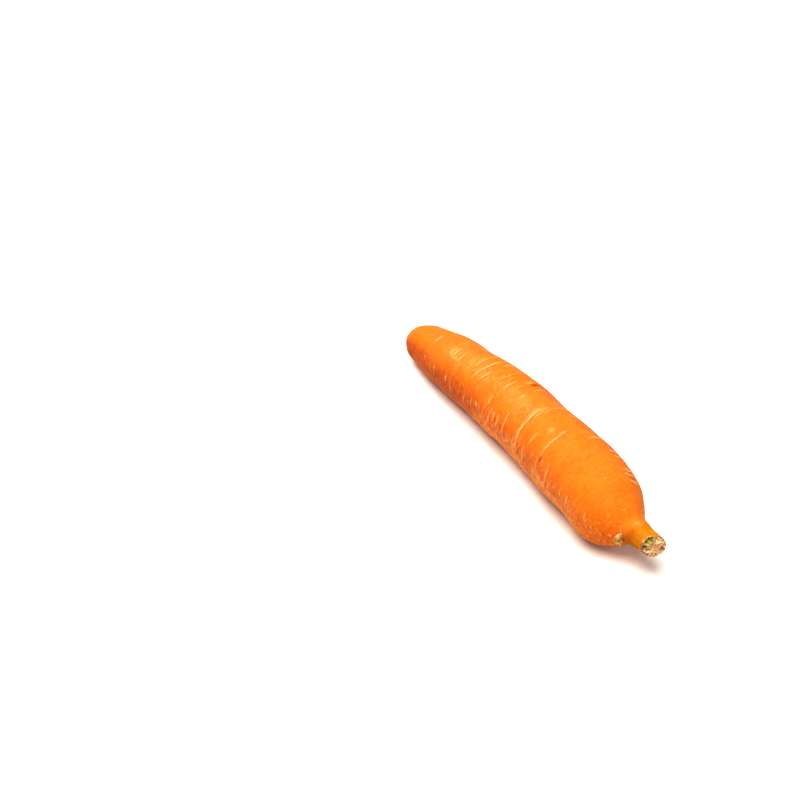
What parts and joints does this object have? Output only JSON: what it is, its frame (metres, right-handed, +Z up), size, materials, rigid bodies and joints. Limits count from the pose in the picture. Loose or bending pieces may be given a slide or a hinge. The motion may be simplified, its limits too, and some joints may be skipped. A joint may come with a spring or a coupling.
{
  "type": "carrot",
  "caption": "Fresh whole carrot lying on its side: tapering bowed taproot, rounded shoulder, and an off-centre neck ending in cut leaf stalks.",
  "frame": {"origin": "on the ground under the middle of the whole root", "axes": "+X from the root's tip to its crown, +Z up, the root lying on its underside"},
  "size_m": [0.2, 0.0392, 0.036],
  "materials": {
    "carrot_skin": "fresh washed carrot skin, satin, bright orange with pale cross marks, ochre towards the neck",
    "cut_stalks": "cut fibrous leaf stalks, matt, tan and cream with dark green and red-brown hollows",
    "cut_shoot": "small dried cut shoot, matt, pale yellow-green to tan"
  },
  "bodies": {
    "root": {"taproot": "carrot_skin", "leaf_stalks": "cut_stalks", "side_shoot": "cut_shoot"}
  },
  "joints": []
}
